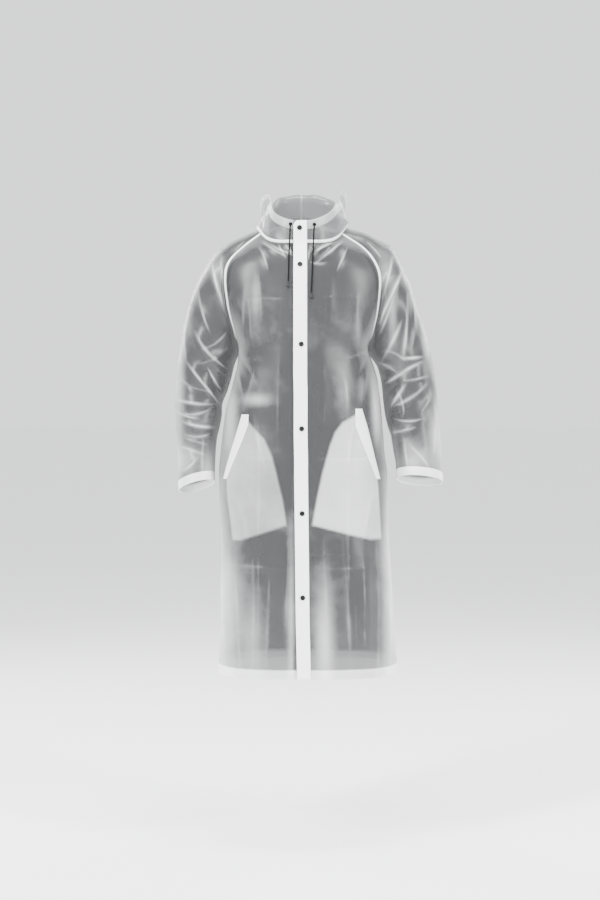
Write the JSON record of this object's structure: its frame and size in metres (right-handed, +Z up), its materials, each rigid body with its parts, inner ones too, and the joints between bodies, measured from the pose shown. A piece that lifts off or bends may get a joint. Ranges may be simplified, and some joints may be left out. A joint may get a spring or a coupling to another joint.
{
  "type": "raincoat",
  "caption": "Long hooded raincoat of clear film with raglan sleeves, a snapped front placket, slanted pockets and a hood drawcord, on an open worn form.",
  "frame": {"origin": "centre of the wearer's neck base, on the level of the shoulder points of the neckline, where the garment is held", "axes": "+Z up, -Y towards the front opening, +X towards the wearer's left"},
  "size_m": [0.6671, 0.3881, 1.2007],
  "materials": {
    "film": "clear frosted film with a soft satin sheen",
    "film_doubled": "doubled and welded film, milky white",
    "pocket_film": "two more layers of film, milky",
    "placket_white": "opaque white film, satin",
    "snap_black": "black, slightly glossy",
    "cord_black": "round braided cord",
    "cord_end_black": "matt black",
    "eyelet_black": "black"
  },
  "bodies": {
    "root": {"front_right": "film", "front_left": "film", "back": "film", "sleeve_right": "film", "sleeve_left": "film", "hood_right": "film", "hood_left": "film", "raglan_front_right": "film_doubled", "raglan_front_left": "film_doubled", "raglan_back_right": "film_doubled", "raglan_back_left": "film_doubled", "neck_seam_right": "film_doubled", "neck_seam_left": "film_doubled", "hood_seam": "film_doubled", "front_facing": "film_doubled", "hem_front_right": "film_doubled", "hem_front_left": "film_doubled", "hem_back": "film_doubled", "cuff_hem_right": "film_doubled", "cuff_hem_left": "film_doubled", "hood_casing_right": "film_doubled", "hood_casing_left": "film_doubled", "pocket_welt_right": "film_doubled", "pocket_welt_left": "film_doubled", "pocket_bag_right": "pocket_film", "pocket_bag_left": "pocket_film", "placket": "placket_white", "snap_1": "snap_black", "snap_2": "snap_black", "snap_3": "snap_black", "snap_4": "snap_black", "snap_5": "snap_black", "snap_6": "snap_black", "drawcord_right": "cord_black", "drawcord_left": "cord_black", "cord_end_right": "cord_end_black", "cord_end_left": "cord_end_black", "eyelet_right": "eyelet_black", "eyelet_left": "eyelet_black"}
  },
  "joints": []
}
